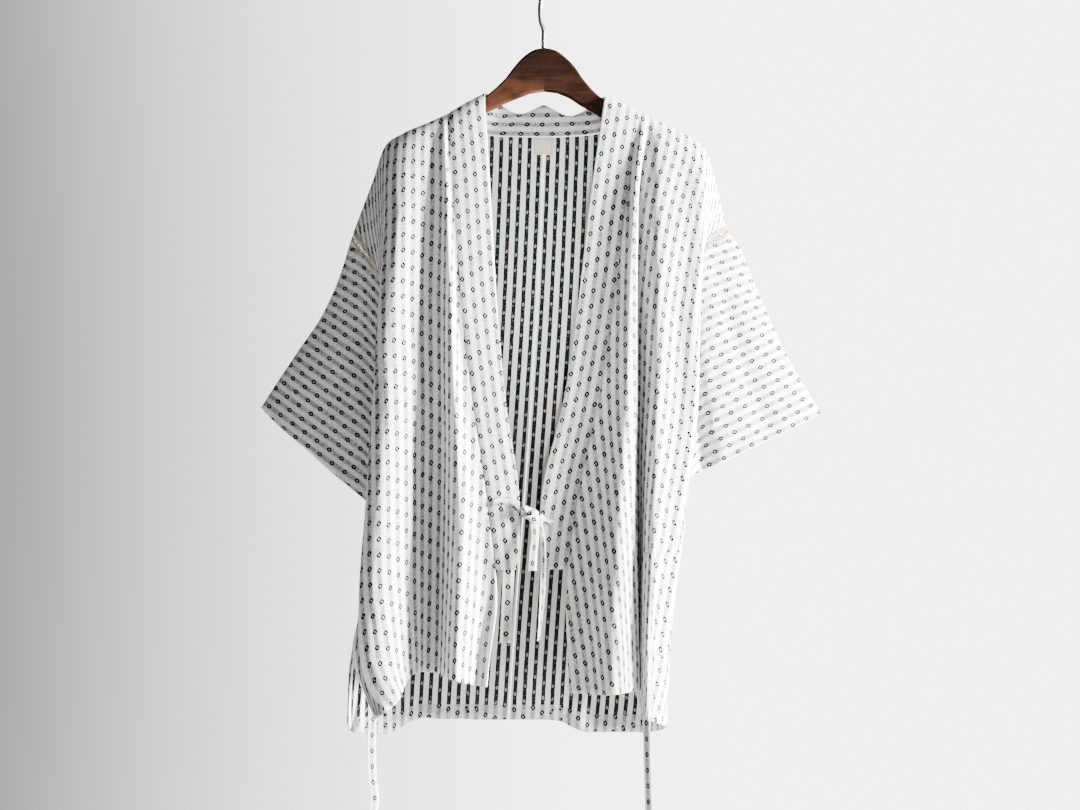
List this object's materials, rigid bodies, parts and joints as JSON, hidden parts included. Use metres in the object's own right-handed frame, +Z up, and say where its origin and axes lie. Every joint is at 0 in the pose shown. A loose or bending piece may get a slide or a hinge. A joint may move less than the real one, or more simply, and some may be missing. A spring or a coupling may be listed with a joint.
{
  "type": "haori jacket on a wooden hanger",
  "caption": "Short-sleeved open-front haori jacket in white double-faced cotton with front ties and a patch pocket, hung on a dark wooden hanger with a steel hook.",
  "frame": {"origin": "inside top of the hanger's hook, where it rests on a rail", "axes": "+Z up, -Y the way the open front faces, +X towards the wearer's left"},
  "size_m": [0.7556, 0.1212, 1.129],
  "materials": {
    "cotton": "matte",
    "label": "matte",
    "wood": "satin",
    "steel": "satin"
  },
  "bodies": {
    "root": {"hanger_arm_right": "wood", "hanger_arm_left": "wood", "hanger_hook": "steel", "body_right": "cotton", "body_left": "cotton", "sleeve_right": "cotton", "sleeve_left": "cotton", "collar_band": "cotton", "pocket_left": "cotton", "label": "label", "tie_knot": "cotton", "tie_front_right": "cotton", "tie_front_left": "cotton", "tie_tail_right": "cotton", "tie_tail_left": "cotton", "tie_inner_right": "cotton", "tie_side_right": "cotton", "tie_side_left": "cotton"}
  },
  "joints": []
}
